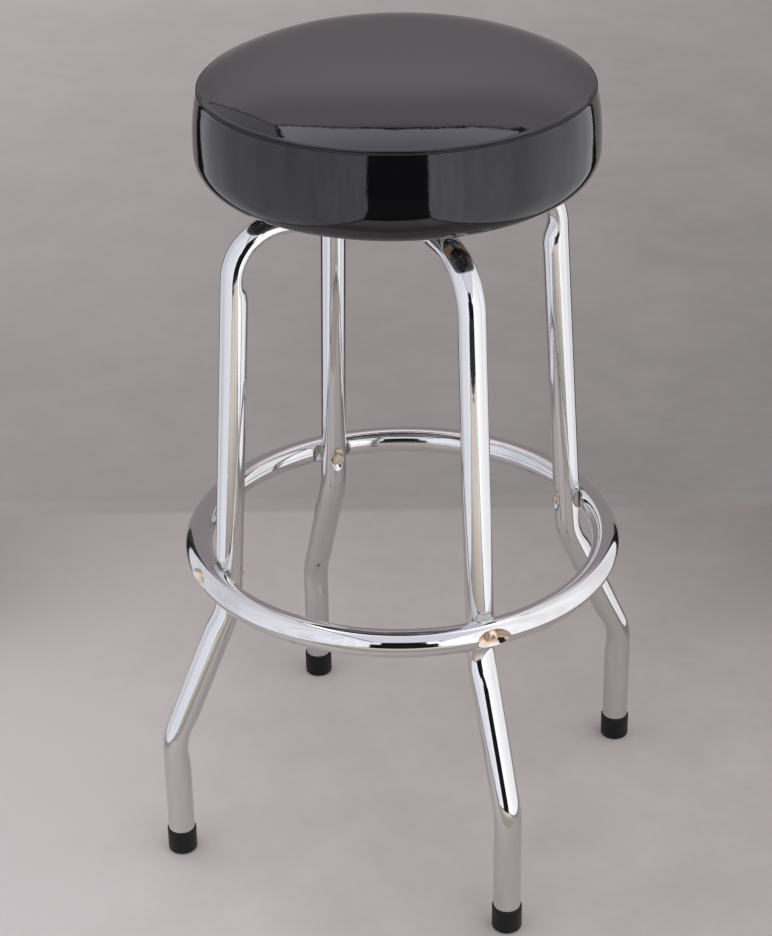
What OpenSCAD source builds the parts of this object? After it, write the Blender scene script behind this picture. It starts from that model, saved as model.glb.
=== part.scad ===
// Swivel bar stool: a round padded seat on a ball swivel, four bent tube legs and a foot ring.
// The floor is z = 0, the swivel's axis is the z axis, and the front is towards -y.

/* [Cushion] */
// Widest diameter of the cushion
seat_d = 357; // [320:1:400]
// How far the seam lies inside the widest diameter
seam_inset = 6.5; // [4:0.5:9]
// Height of the seam above the underside of the board
band_h = 81; // [60:1:100]
// Height of the widest place above the underside of the cushion
widest_h = 28; // [20:1:36]
// Width of the rounding under the edge of the cushion
under_round_w = 26; // [20:1:34]
// Rise of the crown above the seam
crown_h = 29; // [20:1:40]
// Thickness of the vinyl
vinyl_t = 1.2; // [0.8:0.1:1.6]
// Depth of the top panel's edge, turned down inside the seam
seam_turn_h = 9; // [6:0.5:12]
// Width of the vinyl turned in under the board
vinyl_return_w = 35; // [28:1:42]

/* [Board] */
// Thickness of the plywood board
board_t = 16; // [12:1:20]
// Radius on the board's edges
board_edge_r = 3; // [1:0.5:5]
// Diameter of the hole for the pin's nut
board_hole_d = 32; // [28:1:40]
// Number of staples round the underside
staple_count = 24; // [16:1:36]
// Width of a staple's back
staple_w = 10; // [8:0.5:12]
// Length of a staple's legs
staple_leg_h = 8; // [6:0.5:10]
// Thickness of a staple's wire
staple_wire = 0.9; // [0.7:0.1:1.2]

/* [Swivel] */
// Thickness of the swivel's plates
plate_t = 2.5; // [2:0.1:3.2]
// Gap between the upper plate's corners and the end of the turned-in vinyl
plate_corner_gap = 0.75; // [0.5:0.05:2]
// Radius on the upper plate's corners
plate_corner_r = 22; // [12:1:30]
// Width of the upper plate's flat edge, outside its channel
upper_edge_w = 3; // [2:0.5:6]
// Width of the lower plate's flat edge, outside its channel
lower_edge_w = 7; // [4:0.5:12]
// Width of the flat top of the pressed channel
race_w = 18; // [16:0.5:20]
// Width of each sloping wall of the channel
race_wall_w = 5; // [3:0.5:6]
// Height of the pressed channel
dish_h = 6.5; // [5:0.5:9]
// Gap between the two channels
race_gap = 4; // [3:0.25:5]
// Diameter of the balls
ball_d = 8; // [7:0.25:9]
// Number of balls
ball_count = 20; // [12:1:26]
// Thickness of the ball cage
cage_t = 1.2; // [0.8:0.1:1.8]
// Width of the ball cage
cage_w = 14; // [12:0.5:15]
// Diameter of the centre pin
pin_d = 10; // [8:0.5:12]
// Diameter of the pin's shoulder between the plates
pin_shoulder_d = 16; // [14:0.5:20]
// Distance of the plate screws from the upper plate's sides
plate_screw_edge = 22; // [20:0.5:25]

/* [Frame] */
// Height of the tops of the legs, where the swivel sits
frame_h = 645; // [560:1:720]
// Outside diameter of the tube
tube_d = 25.4; // [24:0.1:27]
// Wall of the tube
wall_t = 1.2; // [1:0.1:1.8]
// Lean of the upper legs from upright, in degrees
lean_angle = 3.7; // [2:0.1:5]
// Distance of the upper knee from the swivel's axis
knee_out = 177; // [165:1:195]
// Height of the upper knee
knee_h = 262; // [245:1:268]
// Distance of the feet from the swivel's axis
foot_out = 236.5; // [215:0.5:260]
// Height of the lower knee
low_knee_h = 128; // [100:1:140]
// Radius of the knees, at the middle of the tube
knee_bend_r = 60; // [45:1:65]
// Radius of the bend at the top, at the middle of the tube
top_bend_r = 45; // [40:1:55]
// Depth to which the inner side of the top bend is pressed in
bend_press = 6; // [3:0.5:7]
// Length of the shoulder where the pressed side starts
shoulder_l = 9; // [6:0.5:14]
// Length of the leg's flat end outside its bolt
bolt_flat_l = 18; // [16:0.5:22]
// Length over which the tube is flattened
flatten_l = 24; // [18:1:28]
// Distance of the leg bolts from the channel that is round them
leg_bolt_edge = 12; // [10:0.5:15]

/* [Foot ring] */
// Height of the middle of the ring
ring_h = 296; // [290:1:330]
// Depth of the flat pressed in the leg and of that in the ring
joint_press = 3.7; // [2.5:0.1:4.5]
// Length of the flat pressed in the leg
leg_flat_l = 21; // [18:0.5:24]
// Length of the flat pressed in the inner side of the ring
ring_flat_l = 24; // [20:0.5:30]
// Radius at the ends of the flats
flat_end_r = 9; // [6:0.5:12]
// Depth of the hollow for the bolt's head, on the outer side of the ring
ring_hollow_depth = 7.5; // [6:0.25:8.5]
// Length of that hollow along the ring
ring_hollow_l = 32; // [28:1:38]
// Radius across that hollow
ring_hollow_r = 12; // [10:0.5:14]
// Depth of the hollow for the nut, on the inner side of the leg
leg_hollow_depth = 4.8; // [4.2:0.1:5.5]
// Length of that hollow along the leg
leg_hollow_l = 27; // [22:1:32]
// Radius across that hollow
leg_hollow_r = 7; // [6.5:0.25:8]

/* [Feet] */
// Outside diameter of the caps
cap_d = 27.9; // [27:0.1:31]
// Height of the caps
cap_h = 25; // [18:0.5:35]
// Thickness of a cap under the tube
cap_floor_t = 4; // [2.5:0.1:6]
// Radius on the cap's lower edge
cap_edge_r = 2.5; // [1:0.25:3.5]
// Thickness of the steel disc in a cap
cap_disc_t = 1.5; // [1:0.1:2]

/* [Fasteners] */
// Diameter of the leg bolts
leg_bolt_d = 8; // [6:0.5:9]
// Width of the leg bolts' heads and nuts across the flats
leg_bolt_flats = 13; // [12:0.5:13.5]
// Height of a leg bolt's head
leg_bolt_head_h = 5.3; // [4:0.1:6]
// Height of a leg bolt's nut
leg_nut_h = 6.5; // [5:0.1:8]
// Diameter of a leg bolt's washer
leg_washer_d = 18; // [16:0.5:20]
// Thickness of the washers
washer_t = 1.6; // [1:0.1:2]
// Diameter of the ring bolts
ring_bolt_d = 6; // [5:0.25:6.5]
// Diameter of a ring bolt's head
ring_bolt_head_d = 12; // [10.5:0.25:13]
// Height of a ring bolt's head
ring_bolt_head_h = 3.4; // [2.5:0.1:4]
// Width of the socket in a ring bolt's head
ring_socket_flats = 4; // [3:0.25:5]
// Width of a ring bolt's nut across the flats
ring_nut_flats = 10; // [9:0.25:10.5]
// Height of a ring bolt's nut
ring_nut_h = 4.6; // [3:0.1:5]
// Diameter of the plate screws
plate_screw_d = 4.2; // [3.5:0.1:5]
// Length of the plate screws in the board
plate_screw_l = 12; // [8:0.5:14]
// Diameter of a plate screw's head
plate_screw_head_d = 9; // [8:0.25:10]
// Height of a plate screw's head
plate_screw_head_h = 2.6; // [2:0.1:3.5]
// Width of the pin's nut across the flats
pin_nut_flats = 17; // [16:0.5:18]
// Height of the pin's nut
pin_nut_h = 8; // [6:0.25:10]
// Diameter of the pin's washer
pin_washer_d = 22; // [20:0.5:24]
// Diameter of the pin's head
pin_head_d = 20; // [16:0.5:24]
// Height of the pin's head
pin_head_h = 3; // [2:0.25:4]

/* [Hidden] */
$fn = 64;

// Clearances: soft parts, parts that turn past each other, the pin in its bore, and bolts in their holes
soft_gap = 0.2;
turn_gap = 0.3;
pin_gap = 0.05;
ball_gap = 0.12;
bolt_gap = 0.3;
snug_gap = 0.05;
// Length by which a cutting shape runs past what it cuts
overrun = 1;
// Thickness of the slices that a blended shape is drawn between
slice_t = 0.02;
// Where two lengths of tube join, one reaches into the other by lap and is drawn in by lap_inset,
// and a blend between two sections is drawn in by blend_inset
lap = 0.5;
lap_inset = 0.05;
blend_inset = 0.25;
// Number of straight lines in each curve of the cushion's outline
outline_steps = 24;
// Powers of the crown's curve, the band's and the rounding's: 2 is round, and more has a tighter edge
crown_power_share = 3.6;
band_power_share = 2.4;
under_power_share = 2.2;

// Heights, from the floor up
tube_r = tube_d / 2;
swivel_h = 2 * (plate_t + dish_h) + race_gap;
board_z = frame_h + swivel_h;
seam_z = board_z + band_h;
crown_z = seam_z + crown_h;
cover_z = board_z - vinyl_t;
widest_z = cover_z + widest_h;
board_top_z = board_z + board_t;
lower_plate_top_z = frame_h + plate_t;
upper_plate_z = board_z - plate_t;
ball_z = frame_h + swivel_h / 2;

// Distances from the swivel's axis
seat_r = seat_d / 2;
seam_r = seat_r - seam_inset;
under_round_r = seat_r - under_round_w;
// The board's edge stands this share of the rounding's width past its start
board_edge_share = 0.09;
board_r = under_round_r + under_round_w * board_edge_share;
// The swivel's sizes follow from the space inside the turned-in vinyl
vinyl_end_r = under_round_r - vinyl_return_w;
upper_plate_w = 2 * (plate_corner_r + (vinyl_end_r - plate_corner_gap - plate_corner_r) / sqrt(2));
race_r = upper_plate_w / 2 - upper_edge_w - race_wall_w - race_w / 2;
channel_inner_r = race_r - race_w / 2 - race_wall_w;
channel_outer_r = race_r + race_w / 2 + race_wall_w;
lower_plate_r = channel_outer_r + lower_edge_w;
leg_bolt_out = channel_inner_r - leg_bolt_edge;
flat_out = leg_bolt_out + bolt_flat_l;
flatten_out = flat_out + flatten_l;
// The plate screws stand on the diagonals, like the legs
plate_screw_out = (upper_plate_w / 2 - plate_screw_edge) * sqrt(2);

// The four legs stand on the diagonals
FRONT_RIGHT = -45;
BACK_RIGHT = 45;
BACK_LEFT = 135;
FRONT_LEFT = 225;
LEG_ANGLES = [FRONT_RIGHT, BACK_RIGHT, BACK_LEFT, FRONT_LEFT];

module at_each_leg() {
    for (angle = LEG_ANGLES)
        rotate([0, 0, angle])
            children();
}

module hex_prism(flats, h) {
    cylinder(d = flats / cos(30), h = h, $fn = 6);
}

// A shape drawn along the z axis, laid so that it points outwards along the x axis
module outwards() {
    rotate([0, 90, 0])
        children();
}

// Outline of the cushion, as points [distance from the axis, height], drawn in by the inset i

function crown_at(r, i) = crown_z - i - crown_h * pow(r / (seam_r - i), crown_power_share);

function crown_line(i, r_end) = [
    for (k = [0 : outline_steps])
        let (r = r_end * sin(90 * k / outline_steps))
        [r, crown_at(r, i)]];

function band_r_at(z, i) =
    let (up = max(0, (z - widest_z) / (seam_z - i - widest_z)))
    seam_r - i + seam_inset * (1 - pow(up, band_power_share));

function band_line(i, z_top) = [
    for (k = [0 : outline_steps])
        let (z = z_top + (widest_z - z_top) * k / outline_steps)
        [band_r_at(z, i), z]];

// The rounding under the edge, from the widest place down to the distance r_end from the axis
function under_line(i, r_end) =
    let (last = acos(pow(max(0, r_end - under_round_r) / (under_round_w - i), under_power_share / 2)))
    [for (k = [1 : outline_steps])
        let (turn = last * k / outline_steps)
        [under_round_r + (under_round_w - i) * pow(cos(turn), 2 / under_power_share),
            widest_z - (widest_h - i) * pow(sin(turn), 2 / under_power_share)]];

function reversed(points) = [for (k = [len(points) - 1 : -1 : 0]) points[k]];

// Top panel of the cover: a crowned disc whose edge is turned down inside the band
module seat_cover_top() {
    turn_r = seam_r - vinyl_t - soft_gap;
    outer = crown_line(0, seam_r);
    inner = crown_line(vinyl_t, turn_r - vinyl_t);
    color([0.05, 0.05, 0.055])
        rotate_extrude()
            polygon(concat(
                outer,
                [[seam_r, crown_at(turn_r, vinyl_t)],
                 [turn_r, crown_at(turn_r, vinyl_t)],
                 [turn_r, seam_z - seam_turn_h],
                 [turn_r - vinyl_t, seam_z - seam_turn_h]],
                reversed(inner)));
}

// Side band of the cover: sewn to the top panel, drawn round the edge and in under the board
module seat_cover_band() {
    top_z = crown_at(seam_r - vinyl_t - soft_gap, vinyl_t) - soft_gap;
    color([0.04, 0.04, 0.045])
        rotate_extrude()
            polygon(concat(
                band_line(0, top_z),
                under_line(0, under_round_r),
                [[vinyl_end_r, cover_z],
                 [vinyl_end_r, board_z]],
                reversed(under_line(vinyl_t, under_round_r)),
                reversed(band_line(vinyl_t, top_z))));
}

// Foam pad: it fills the cover, stands on the board and wraps round the board's edge
module seat_foam() {
    inset = vinyl_t + soft_gap;
    step_r = seam_r - 2 * (vinyl_t + soft_gap);
    step_z = seam_z - seam_turn_h - soft_gap;
    edge_r = board_r + soft_gap;
    color([0.85, 0.8, 0.6])
        rotate_extrude()
            polygon(concat(
                crown_line(inset, step_r),
                [[step_r, step_z]],
                band_line(inset, step_z),
                under_line(inset, edge_r),
                [[edge_r, board_top_z + soft_gap],
                 [0, board_top_z + soft_gap]]));
}

// Plywood board with rounded edges, a hole for the pin's nut and pilot holes for the plate screws
module seat_board() {
    color([0.72, 0.55, 0.36])
        difference() {
            translate([0, 0, board_z])
                rotate_extrude()
                    board_section();
            translate([0, 0, board_z - overrun])
                cylinder(d = board_hole_d, h = board_t + 2 * overrun);
            at_each_leg()
                translate([plate_screw_out, 0, board_z - overrun])
                    cylinder(d = plate_screw_d + 2 * snug_gap, h = overrun + plate_screw_l + snug_gap);
        }
}

module board_section() {
    square([board_r - board_edge_r, board_t]);
    translate([0, board_edge_r])
        square([board_r, board_t - 2 * board_edge_r]);
    for (z = [board_edge_r, board_t - board_edge_r])
        translate([board_r - board_edge_r, z])
            circle(r = board_edge_r);
}

// Staples: each has a back across the turned-in vinyl and two legs driven up into the board
module cover_staples() {
    staple_r = under_round_r - vinyl_return_w / 2;
    color([0.75, 0.75, 0.78])
        for (k = [0 : staple_count - 1])
            rotate([0, 0, 360 * k / staple_count])
                translate([staple_r, 0, cover_z - staple_wire])
                    staple();
}

module staple() {
    translate([-staple_wire / 2, -staple_w / 2, 0])
        cube([staple_wire, staple_w, staple_wire]);
    for (side = [-1, 1])
        translate([-staple_wire / 2, side * (staple_w - staple_wire) / 2 - staple_wire / 2, 0])
            cube([staple_wire, staple_wire, staple_wire + staple_leg_h]);
}

// Section of the ring-shaped channel pressed in a plate that lies on z = 0, with its groove for the balls.
// The groove's centre is half of the race gap above the channel's top.
module channel_section() {
    groove_r = ball_d / 2 + ball_gap;
    groove_z = dish_h + plate_t + race_gap / 2;
    outer_w = race_w / 2 + race_wall_w;
    difference() {
        union() {
            polygon([
                [race_r - outer_w, 0],
                [race_r - race_w / 2, dish_h],
                [race_r + race_w / 2, dish_h],
                [race_r + outer_w, 0],
                [race_r + outer_w, plate_t],
                [race_r + race_w / 2, dish_h + plate_t],
                [race_r - race_w / 2, dish_h + plate_t],
                [race_r - outer_w, plate_t]]);
            intersection() {
                translate([race_r, groove_z])
                    circle(r = groove_r + plate_t);
                translate([race_r - race_w / 2, 0])
                    square([race_w, dish_h + plate_t]);
            }
        }
        translate([race_r, groove_z])
            circle(r = groove_r);
    }
}

module rounded_square(w, r) {
    square([w, w - 2 * r], center = true);
    square([w - 2 * r, w], center = true);
    for (x = [-1, 1], y = [-1, 1])
        translate([x * (w / 2 - r), y * (w / 2 - r)])
            circle(r = r);
}

// Upper plate: square, screwed to the board, with its channel pressed down
module swivel_upper_plate() {
    color([0.62, 0.64, 0.66])
        difference() {
            union() {
                translate([0, 0, upper_plate_z])
                    difference() {
                        linear_extrude(plate_t)
                            rounded_square(upper_plate_w, plate_corner_r);
                        translate([0, 0, -overrun])
                            cylinder(r = channel_outer_r, h = plate_t + 2 * overrun);
                    }
                translate([0, 0, upper_plate_z])
                    cylinder(r = channel_inner_r, h = plate_t);
                translate([0, 0, board_z])
                    mirror([0, 0, 1])
                        rotate_extrude()
                            channel_section();
            }
            translate([0, 0, upper_plate_z - overrun])
                cylinder(d = pin_d + 2 * pin_gap, h = plate_t + 2 * overrun);
            at_each_leg()
                translate([plate_screw_out, 0, upper_plate_z - overrun])
                    cylinder(d = plate_screw_d + 2 * bolt_gap, h = plate_t + 2 * overrun);
        }
}

// Plate screws: pan heads under the upper plate, shanks up in the board
module plate_screws() {
    color([0.7, 0.7, 0.72])
        at_each_leg()
            translate([plate_screw_out, 0, upper_plate_z])
                difference() {
                    union() {
                        cylinder(d = plate_screw_d, h = plate_t + plate_screw_l);
                        intersection() {
                            translate([0, 0, -plate_screw_head_h])
                                cylinder(d = plate_screw_head_d, h = plate_screw_head_h);
                            translate([0, 0, plate_screw_dome_r - plate_screw_head_h])
                                sphere(r = plate_screw_dome_r);
                        }
                    }
                    translate([0, 0, -plate_screw_head_h - overrun])
                        for (turn = [0, 90])
                            rotate([0, 0, turn])
                                translate([-plate_screw_slot_l / 2, -plate_screw_slot_w / 2, 0])
                                    cube([plate_screw_slot_l, plate_screw_slot_w,
                                        overrun + plate_screw_head_h * screw_slot_share]);
                }
}

// A plate screw's head: radius of its dome, and size of its cross recess, as shares of the head
screw_dome_share = 0.8;
screw_slot_share = 0.5;
screw_slot_l_share = 0.5;
screw_slot_w_share = 0.12;
plate_screw_dome_r = plate_screw_head_d * screw_dome_share;
plate_screw_slot_l = plate_screw_head_d * screw_slot_l_share;
plate_screw_slot_w = plate_screw_head_d * screw_slot_w_share;

// Cage: a flat ring that spaces the balls
module ball_cage() {
    color([0.8, 0.66, 0.35])
        translate([0, 0, ball_z - cage_t / 2])
            difference() {
                cylinder(r = race_r + cage_w / 2, h = cage_t);
                translate([0, 0, -overrun])
                    cylinder(r = race_r - cage_w / 2, h = cage_t + 2 * overrun);
                at_each_ball()
                    translate([0, 0, -overrun])
                        cylinder(d = ball_d + 2 * ball_gap, h = cage_t + 2 * overrun);
            }
}

module at_each_ball() {
    for (k = [0 : ball_count - 1])
        rotate([0, 0, 360 * k / ball_count])
            translate([race_r, 0, 0])
                children();
}

module swivel_balls() {
    color([0.85, 0.85, 0.88])
        at_each_ball()
            translate([0, 0, ball_z])
                sphere(d = ball_d);
}

// Lower plate: round, on the flattened ends of the legs, with its channel pressed up
module swivel_lower_plate() {
    color([0.6, 0.62, 0.64])
        translate([0, 0, frame_h])
            difference() {
                union() {
                    difference() {
                        cylinder(r = lower_plate_r, h = plate_t);
                        translate([0, 0, -overrun])
                            cylinder(r = channel_outer_r, h = plate_t + 2 * overrun);
                    }
                    cylinder(r = channel_inner_r, h = plate_t);
                    rotate_extrude()
                        channel_section();
                }
                translate([0, 0, -overrun])
                    cylinder(d = pin_d + 2 * snug_gap, h = plate_t + 2 * overrun);
                at_each_leg()
                    translate([leg_bolt_out, 0, -overrun])
                        cylinder(d = leg_bolt_d + 2 * bolt_gap, h = plate_t + 2 * overrun);
            }
}

// Centre pin: head under the lower plate, shoulder between the plates, end up in the board's hole
module centre_pin() {
    washer_top_z = board_z + turn_gap + washer_t;
    pin_top_z = washer_top_z + pin_nut_h + pin_end_h;
    color([0.7, 0.7, 0.72])
        difference() {
            union() {
                translate([0, 0, frame_h - pin_head_h])
                    cylinder(d = pin_head_d, h = pin_head_h);
                translate([0, 0, frame_h - pin_head_h / 2])
                    cylinder(d = pin_d, h = pin_top_z - frame_h + pin_head_h / 2);
                translate([0, 0, lower_plate_top_z])
                    cylinder(d = pin_shoulder_d, h = upper_plate_z - turn_gap - lower_plate_top_z);
            }
            translate([0, 0, frame_h - pin_head_h - overrun])
                cylinder(d = pin_d * pin_dimple_share, h = overrun + pin_head_h / 2);
        }
}

// The pin's end stands past its nut by this share of its diameter, and its head has a small centre hole
pin_end_share = 0.1;
pin_dimple_share = 0.4;
pin_end_h = pin_d * pin_end_share;

module pin_washer() {
    color([0.72, 0.72, 0.74])
        translate([0, 0, board_z + turn_gap])
            difference() {
                cylinder(d = pin_washer_d, h = washer_t);
                translate([0, 0, -overrun])
                    cylinder(d = pin_d + 2 * bolt_gap, h = washer_t + 2 * overrun);
            }
}

module pin_nut() {
    color([0.66, 0.66, 0.68])
        translate([0, 0, board_z + turn_gap + washer_t])
            difference() {
                hex_prism(pin_nut_flats, pin_nut_h);
                translate([0, 0, -overrun])
                    cylinder(d = pin_d + 2 * snug_gap, h = pin_nut_h + 2 * overrun);
            }
}

// The leg's line, as points [distance from the axis, height] at the middle of the tube
level_z = frame_h - tube_r;
foot_z = cap_floor_t + cap_disc_t;
lean_at_top = (level_z - knee_h) * tan(lean_angle);
leg_line = [
    [foot_out, foot_z],
    [foot_out, low_knee_h],
    [knee_out, knee_h],
    [knee_out - lean_at_top, level_z],
    [flatten_out, level_z]];
leg_bends = [0, knee_bend_r, knee_bend_r, top_bend_r, 0];
TOP = 3;

function heading(k) = atan2(leg_line[k + 1].y - leg_line[k].y, leg_line[k + 1].x - leg_line[k].x);
function run_length(k) = norm(leg_line[k + 1] - leg_line[k]);
function turn_at(k) = k < 1 || k > TOP ? 0 : heading(k) - heading(k - 1);
function tangent_at(k) = leg_bends[k] * tan(abs(turn_at(k)) / 2);
function leg_out_at(z) = knee_out - (z - knee_h) * tan(lean_angle);

// In this drawing plane x is the distance from the axis and y the height: this stands it up
module stand_up() {
    rotate([90, 0, 0])
        children();
}

// Starts a straight run of the leg at its corner k, with the run along x
module along_run(k) {
    translate([leg_line[k].x, leg_line[k].y, 0])
        rotate([0, 0, heading(k)])
            children();
}

// A section drawn across a run, h thick: its x is to the left of the run and its y out of the plane
module across(h) {
    rotate([90, 0, 90])
        linear_extrude(h)
            children();
}

// Section of the tube where its left side is pressed in, drawn in by the inset i
module pressed_section(i) {
    intersection() {
        circle(r = tube_r - i);
        translate([tube_r - bend_press - press_r, 0])
            circle(r = press_r - i);
    }
}

// The pressed side is rounder than flat: its radius is this many times the tube's
press_round_share = 1.4;
press_r = tube_r * press_round_share;

// Straight run from corner k, between the bends at its ends, less the length short at its far end
module straight_run(k, i, short) {
    along_run(k)
        translate([tangent_at(k), 0, 0])
            outwards()
                cylinder(r = tube_r - i, h = run_length(k) - tangent_at(k) - tangent_at(k + 1) - short);
}

// Bend at corner k, with the section given as a child drawn round the middle of the tube.
// It turns on by the angles before and after, into the straight runs at its ends.
module bend(k, before, after) {
    side = sign(turn_at(k));
    start = side > 0 ? heading(k - 1) - 90 : heading(k) + 90;
    away = heading(k - 1) + 90 * side;
    corner = leg_line[k] - tangent_at(k) * [cos(heading(k - 1)), sin(heading(k - 1))];
    centre = corner + leg_bends[k] * [cos(away), sin(away)];
    translate([centre.x, centre.y, 0])
        rotate([0, 0, start - before])
            rotate_extrude(angle = abs(turn_at(k)) + before + after)
                translate([leg_bends[k], 0])
                    children();
}

// Thickness and width of the leg's flattened end
flat_t = 2 * wall_t + snug_gap;
flat_w = PI * (tube_d - wall_t) / 2 + wall_t;

// The whole leg as a solid, drawn in by the inset i: i = 0 is the outside and i = wall_t the hollow
module leg_solid(i) {
    knee_lap = lap / knee_bend_r * 180 / PI;
    top_lap = lap / top_bend_r * 180 / PI;
    if (i > 0)
        translate([0, -overrun, 0])
            along_run(0)
                outwards()
                    cylinder(r = tube_r - i, h = 2 * overrun);
    straight_run(0, i, 0);
    straight_run(1, i, 0);
    for (k = [1, 2])
        bend(k, knee_lap, knee_lap)
            rotate(-90)
                circle(r = tube_r - i - lap_inset);
    straight_run(2, i, shoulder_l);
    shoulder(i);
    bend(TOP, 0, top_lap)
        mirror([1, 0])
            pressed_section(i + lap_inset);
    level_run(i);
    flattening(i);
}

// Shoulder between the round tube and the pressed bend
module shoulder(i) {
    end_x = run_length(2) - tangent_at(TOP);
    along_run(2)
        hull() {
            translate([end_x - shoulder_l - lap, 0, 0])
                across(2 * lap)
                    circle(r = tube_r - i - blend_inset, $fn = 32);
            translate([end_x - lap, 0, 0])
                across(2 * lap)
                    pressed_section(i + blend_inset, $fn = 32);
        }
}

module level_run(i) {
    along_run(TOP)
        translate([tangent_at(TOP), 0, 0])
            across(run_length(TOP) - tangent_at(TOP))
                pressed_section(i);
}

// The tube is pressed flat against the plate side, from the full section to two walls thick
module flattening(i) {
    edge = i + lap_inset;
    end_t = i > 0 ? snug_gap : flat_t - 2 * edge;
    end_x = run_length(TOP) + flatten_l + (i > 0 ? -i : lap);
    along_run(TOP)
        hull() {
            translate([run_length(TOP) - lap, 0, 0])
                across(2 * lap)
                    pressed_section(i + blend_inset, $fn = 32);
            translate([end_x - slice_t, 0, 0])
                across(slice_t)
                    translate([-tube_r + edge, -flat_w / 2 + edge])
                        square([end_t, flat_w - 2 * edge]);
        }
}

// Flattened end with its round outline, which the leg bolt passes through
module flat_end() {
    translate([leg_bolt_out, frame_h - flat_t, -flat_w / 2])
        cube([flat_out - leg_bolt_out, flat_t, flat_w]);
    translate([leg_bolt_out, frame_h, 0])
        stand_up()
            cylinder(d = flat_w, h = flat_t);
}

// Joint between a leg and the ring: the contact plane, and the places of the bolt's head and nut
joint_r = leg_out_at(ring_h) + tube_r - joint_press;
ring_r = joint_r + tube_r - joint_press;
head_seat_r = ring_r + tube_r - ring_hollow_depth;
nut_seat_r = leg_out_at(ring_h) - tube_r + leg_hollow_depth;

// A flat pressed across the x axis, on the side x > 0, with round ends at y = l / 2, enlarged by i
module press_flat(l, i) {
    translate([-i, -l / 2, -tube_d])
        cube([i + flat_end_r, l, 2 * tube_d]);
    for (side = [-1, 1])
        translate([flat_end_r, side * l / 2, -tube_d])
            cylinder(r = flat_end_r + i, h = 2 * tube_d);
    translate([flat_end_r - overrun, -l / 2 - flat_end_r - i, -tube_d])
        cube([flat_end_r + overrun, l + 2 * (flat_end_r + i), 2 * tube_d]);
}

// A hollow pressed in by a wheel that turns about the z axis, at x = 0 at its deepest, on the side x > 0.
// It is l long at the depth given, and r is the radius of the wheel's round rim. It is enlarged by i.
module press_wheel(depth, l, r, i) {
    wheel_r = (l * l / 4 + depth * depth) / (2 * depth);
    translate([wheel_r, 0, 0])
        rotate_extrude()
            intersection() {
                union() {
                    translate([wheel_r - r, 0])
                        circle(r = r + i);
                    translate([0, -r - i])
                        square([max(0, wheel_r - r), 2 * (r + i)]);
                }
                translate([0, -r - i])
                    square([wheel_r + i, 2 * (r + i)]);
            }
}

// The dents in a leg, in the leg's drawing plane: the flat for the ring and the hollow for the nut
module leg_dents(i) {
    translate([joint_r, ring_h, 0])
        press_flat(leg_flat_l, i);
    translate([nut_seat_r, ring_h, 0])
        mirror([1, 0, 0]) {
            press_wheel(leg_hollow_depth, leg_hollow_l, leg_hollow_r, i);
            nut_seat(i);
        }
}

// Flat round seat for the nut, at the deepest place of the hollow
module nut_seat(i) {
    translate([-i, 0, 0])
        outwards()
            cylinder(r = nut_seat_radius + i, h = i + leg_hollow_depth);
}

nut_seat_radius = ring_nut_flats / 2 / cos(30) + bolt_gap;
head_seat_radius = ring_bolt_head_d / 2 + bolt_gap;

module leg() {
    color([0.82, 0.83, 0.85])
        stand_up()
            difference() {
                union() {
                    difference() {
                        leg_solid(0);
                        leg_dents(0);
                        difference() {
                            leg_solid(wall_t);
                            leg_dents(wall_t);
                        }
                    }
                    flat_end();
                }
                translate([leg_bolt_out, frame_h + overrun, 0])
                    stand_up()
                        cylinder(d = leg_bolt_d + 2 * bolt_gap, h = flat_t + 2 * overrun);
                translate([nut_seat_r - overrun, ring_h, 0])
                    outwards()
                        cylinder(d = ring_bolt_d + 2 * bolt_gap, h = joint_r - nut_seat_r + 2 * overrun);
            }
}

module leg_front_right() {
    rotate([0, 0, FRONT_RIGHT])
        leg();
}

module leg_back_right() {
    rotate([0, 0, BACK_RIGHT])
        leg();
}

module leg_back_left() {
    rotate([0, 0, BACK_LEFT])
        leg();
}

module leg_front_left() {
    rotate([0, 0, FRONT_LEFT])
        leg();
}

// Leg bolts: heads below the flattened ends, shanks up through the lower plate into the nuts
module leg_bolts() {
    head_top_z = frame_h - flat_t - washer_t;
    color([0.7, 0.7, 0.72])
        at_each_leg()
            translate([leg_bolt_out, 0, head_top_z]) {
                translate([0, 0, -leg_bolt_head_h])
                    hex_prism(leg_bolt_flats, leg_bolt_head_h);
                cylinder(d = leg_bolt_d, h = washer_t + flat_t + plate_t + leg_nut_h + washer_t);
            }
}

module leg_washers() {
    color([0.74, 0.74, 0.76])
        at_each_leg()
            translate([leg_bolt_out, 0, frame_h - flat_t - washer_t])
                difference() {
                    cylinder(d = leg_washer_d, h = washer_t);
                    translate([0, 0, -overrun])
                        cylinder(d = leg_bolt_d + 2 * bolt_gap, h = washer_t + 2 * overrun);
                }
}

module leg_nuts() {
    color([0.66, 0.66, 0.68])
        at_each_leg()
            translate([leg_bolt_out, 0, lower_plate_top_z])
                difference() {
                    hex_prism(leg_bolt_flats, leg_nut_h);
                    translate([0, 0, -overrun])
                        cylinder(d = leg_bolt_d + 2 * snug_gap, h = leg_nut_h + 2 * overrun);
                }
}

// Foot ring: a hollow tube bent to a circle, pressed flat inside and hollowed outside at each leg
module ring_solid(i) {
    rotate_extrude()
        translate([ring_r, 0])
            circle(r = tube_r - i);
}

module ring_dents(i) {
    at_each_leg() {
        translate([joint_r, 0, 0])
            mirror([1, 0, 0])
                press_flat(ring_flat_l, i);
        translate([head_seat_r, 0, 0]) {
            press_wheel(ring_hollow_depth, ring_hollow_l, ring_hollow_r, i);
            translate([-i, 0, 0])
                outwards()
                    cylinder(r = head_seat_radius + i, h = i + ring_hollow_depth);
        }
    }
}

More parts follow.
